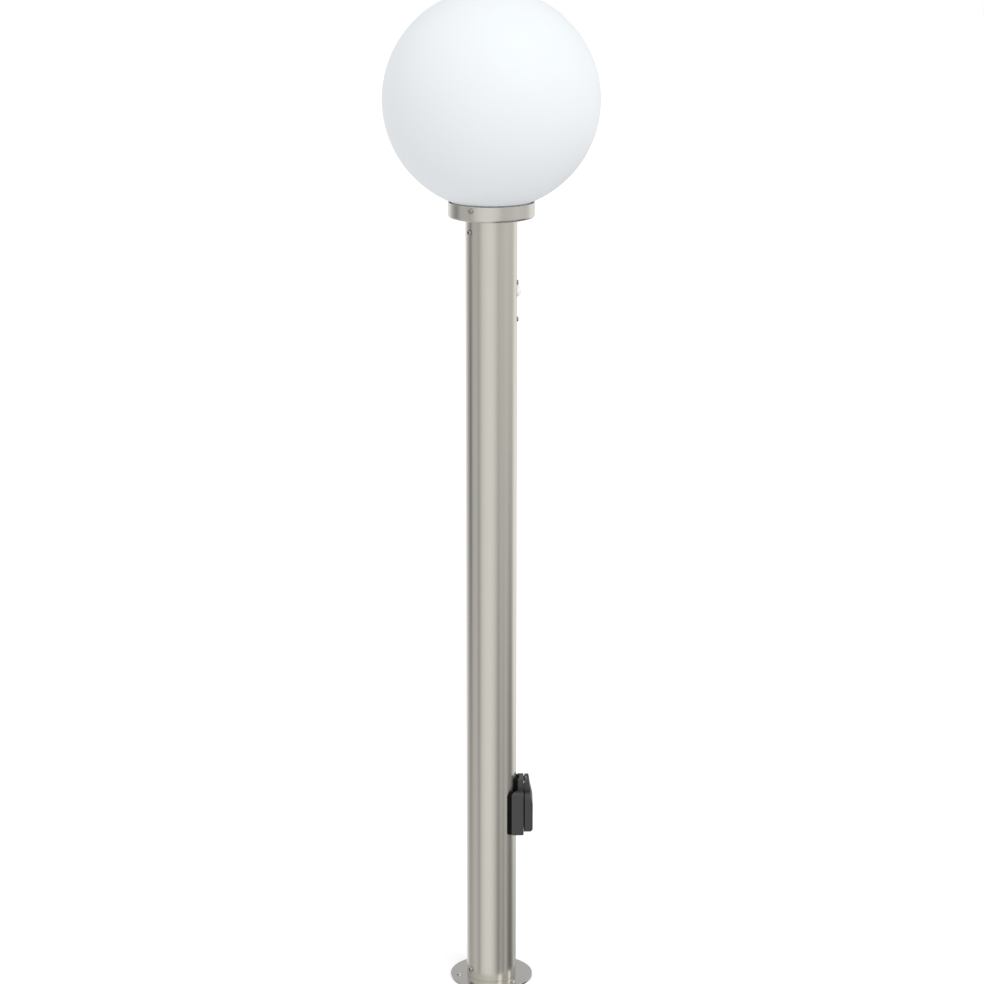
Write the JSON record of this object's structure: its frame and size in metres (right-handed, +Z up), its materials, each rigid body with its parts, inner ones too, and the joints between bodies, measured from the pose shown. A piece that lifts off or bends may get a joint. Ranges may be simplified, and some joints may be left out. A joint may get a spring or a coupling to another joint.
{
  "type": "garden socket post",
  "caption": "Garden post lamp with an opal globe on a round steel tube, a round flange foot, a lidded socket outlet low down and a motion sensor near the top.",
  "frame": {"origin": "centre of the flange's underside, on the ground", "axes": "+Z up along the post, +X towards the socket outlet and the motion sensor"},
  "size_m": [0.25, 0.25, 1.2],
  "materials": {
    "polished_steel": "polished stainless steel flange",
    "brushed_tube": "satin stainless steel, brushed round the tube",
    "brushed_cup": "satin stainless steel cup",
    "inner_steel": "plain stainless steel inside the post",
    "screw_steel": "plain stainless steel fasteners",
    "dark_pin": "blackened steel hinge pin",
    "opal_globe": "opal white acrylic with a satin skin",
    "charcoal_plastic": "charcoal grey weatherproof plastic",
    "black_plastic": "black moulded plastic",
    "black_rubber": "black sealing rubber",
    "clear_seal": "pale silicone ring",
    "carrier_plastic": "off-white insulating plastic",
    "contact_brass": "bare brass contacts and screws",
    "lens_plastic": "milky white lens",
    "board_green": "green circuit board",
    "relay_plastic": "moulded component cases",
    "dial_plastic": "white setting dials",
    "holder_plastic": "black heatproof plastic",
    "holder_ceramic": "white porcelain core",
    "bulb_metal": "bare aluminium screw cap",
    "bulb_insulator": "black cap insulator with its tip",
    "bulb_glass": "frosted bulb glass",
    "cable_sheath": "black cable sheath",
    "wire_cover": "single insulated wires"
  },
  "bodies": {
    "post": {"base_flange": "polished_steel", "base_screws": "screw_steel", "block_screws": "screw_steel", "board_nuts": "inner_steel", "board_spacers": "carrier_plastic", "bracket_screws": "screw_steel", "bulb_cap": "bulb_metal", "bulb_envelope": "bulb_glass", "bulb_tip": "bulb_insulator", "cable_clamp": "carrier_plastic", "cable_grommet": "black_rubber", "centre_contact": "contact_brass", "centre_screw": "screw_steel", "clamp_screws": "screw_steel", "collar_cup": "brushed_cup", "contact_carrier": "carrier_plastic", "contact_screws": "contact_brass", "earth_clip": "contact_brass", "earth_lead": "wire_cover", "earth_screw": "screw_steel", "foot_spigot": "inner_steel", "globe": "opal_globe", "globe_screws": "screw_steel", "globe_seal": "clear_seal", "head_screws": "screw_steel", "head_spigot": "inner_steel", "lamp_cable": "cable_sheath", "lampholder_cap": "holder_plastic", "lampholder_core": "holder_ceramic", "lampholder_shell": "holder_plastic", "lid_pin": "dark_pin", "lid_spring": "inner_steel", "live_contact": "contact_brass", "motion_detector": "screw_steel", "neutral_contact": "contact_brass", "nipple": "inner_steel", "nipple_nuts": "inner_steel", "post_tube": "brushed_tube", "potentiometers": "relay_plastic", "relay": "relay_plastic", "sensor_board": "board_green", "sensor_cable": "cable_sheath", "sensor_lens": "lens_plastic", "sensor_screws": "screw_steel", "socket_gasket": "black_rubber", "socket_housing": "charcoal_plastic", "socket_insert": "black_plastic", "socket_leads": "wire_cover", "socket_screws": "screw_steel", "terminal_block": "carrier_plastic", "terminal_screws": "contact_brass", "thread_shell": "contact_brass", "wiring_bracket": "inner_steel"},
    "lid_body": {"lid": "charcoal_plastic", "lid_seal": "black_rubber"},
    "time_dial_body": {"time_dial": "dial_plastic"},
    "lux_dial_body": {"lux_dial": "dial_plastic"}
  },
  "joints": [
    {"name": "lid_hinge", "type": "hinge", "parent": "post", "child": "lid_body", "pos_m": [0.0416, 0, 0.2561], "axis": [0, -1, 0], "range_deg": [0, 100], "stiffness_Nm_per_rad": 0.008, "springref_deg": -17.19, "deforming": ["lid_spring"]},
    {"name": "time_dial_turn", "type": "hinge", "parent": "post", "child": "time_dial_body", "pos_m": [0.028, 0, 0.84012], "axis": [1, 0, 0], "range_deg": [-135, 135]},
    {"name": "lux_dial_turn", "type": "hinge", "parent": "post", "child": "lux_dial_body", "pos_m": [0.028, 0, 0.83012], "axis": [1, 0, 0], "range_deg": [-135, 135]}
  ]
}
